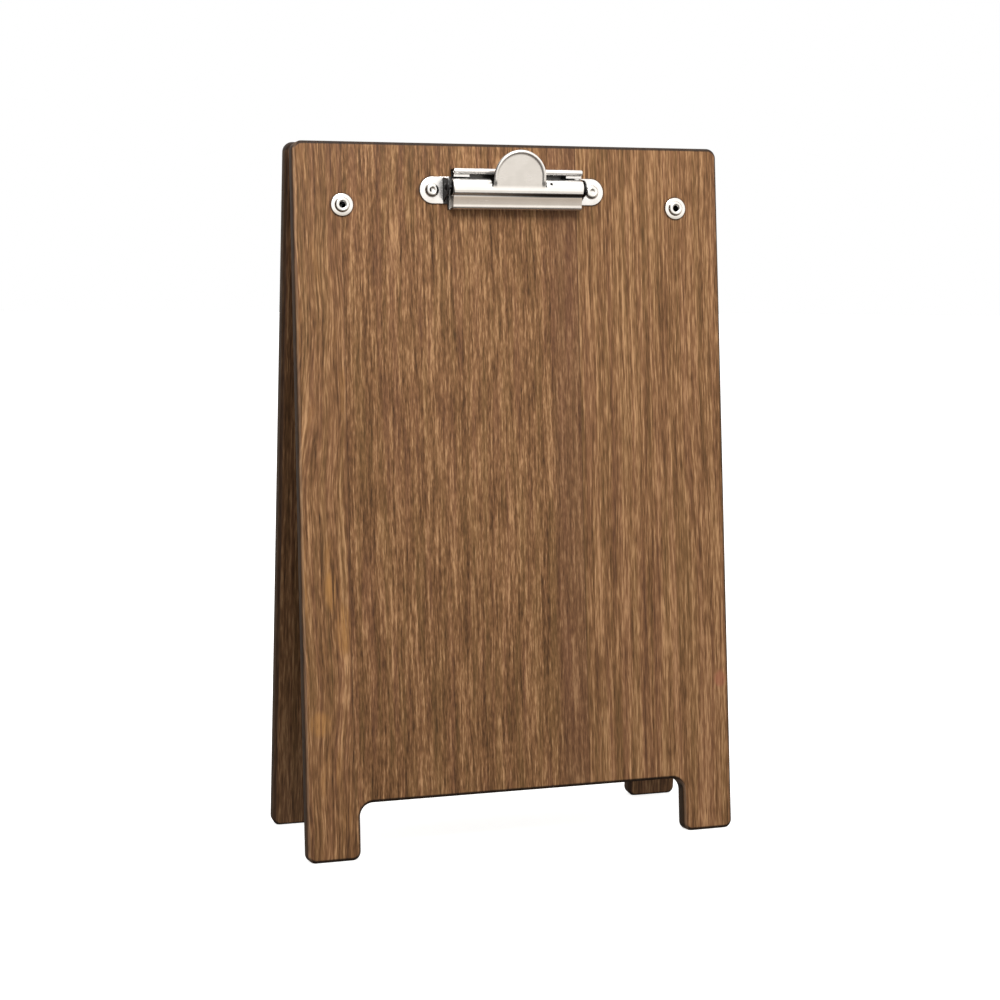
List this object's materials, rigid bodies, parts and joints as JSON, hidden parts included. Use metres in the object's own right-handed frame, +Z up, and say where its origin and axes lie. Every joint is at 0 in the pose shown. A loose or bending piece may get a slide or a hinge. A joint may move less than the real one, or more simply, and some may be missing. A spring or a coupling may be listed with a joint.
{
  "type": "menu display board",
  "caption": "Folding tabletop A-frame menu stand: hinged brown oak boards with an arch cut between the legs and a sprung lever clip for a sheet on each face.",
  "frame": {"origin": "on the table, midway between the front and rear feet and between the boards' two sides", "axes": "+X to the right across the boards seen from the front, +Y from the front board to the rear board, +Z up"},
  "size_m": [0.224, 0.0846, 0.3486],
  "materials": {
    "oak": "brown stained oak, satin, dark eased edges",
    "clip_nickel": "nickel plated pressed sheet, satin bright",
    "rivet_nickel": "nickel plated, polished by forming",
    "hinge_steel": "zinc plated, satin",
    "spring_steel": "drawn wire, lightly oiled"
  },
  "bodies": {
    "front_panel": {"front_board": "oak", "hinge_left_front_leaf": "hinge_steel", "hinge_left_pin": "hinge_steel", "hinge_right_front_leaf": "hinge_steel", "hinge_right_pin": "hinge_steel", "front_hinge_rivets": "rivet_nickel", "front_rivet_washers": "rivet_nickel", "front_clip_base": "clip_nickel", "front_clip_rod": "spring_steel", "front_clip_spring": "spring_steel", "front_clip_rivets": "rivet_nickel", "front_clip_backers": "hinge_steel"},
    "rear_panel": {"rear_board": "oak", "hinge_left_rear_leaf": "hinge_steel", "hinge_right_rear_leaf": "hinge_steel", "rear_hinge_rivets": "rivet_nickel", "rear_rivet_washers": "rivet_nickel", "rear_clip_base": "clip_nickel", "rear_clip_rod": "spring_steel", "rear_clip_spring": "spring_steel", "rear_clip_rivets": "rivet_nickel", "rear_clip_backers": "hinge_steel"},
    "front_jaw": {"front_clip_jaw": "clip_nickel"},
    "rear_jaw": {"rear_clip_jaw": "clip_nickel"}
  },
  "joints": [
    {"name": "fold", "type": "hinge", "parent": "front_panel", "child": "rear_panel", "pos_m": [0, 0, 0.33557], "axis": [1, 0, 0], "range_deg": [-10.2, 0]},
    {"name": "front_clip_press", "type": "hinge", "parent": "front_panel", "child": "front_jaw", "pos_m": [0, -0.01846, 0.32667], "axis": [-1, 0, 0], "range_deg": [0, 20], "stiffness_Nm_per_rad": 0.12, "springref_deg": -34.38, "deforming": ["front_clip_spring"]},
    {"name": "rear_clip_press", "type": "hinge", "parent": "rear_panel", "child": "rear_jaw", "pos_m": [0, 0.01846, 0.32667], "axis": [1, 0, 0], "range_deg": [0, 20], "stiffness_Nm_per_rad": 0.12, "springref_deg": -34.38, "deforming": ["rear_clip_spring"]}
  ]
}
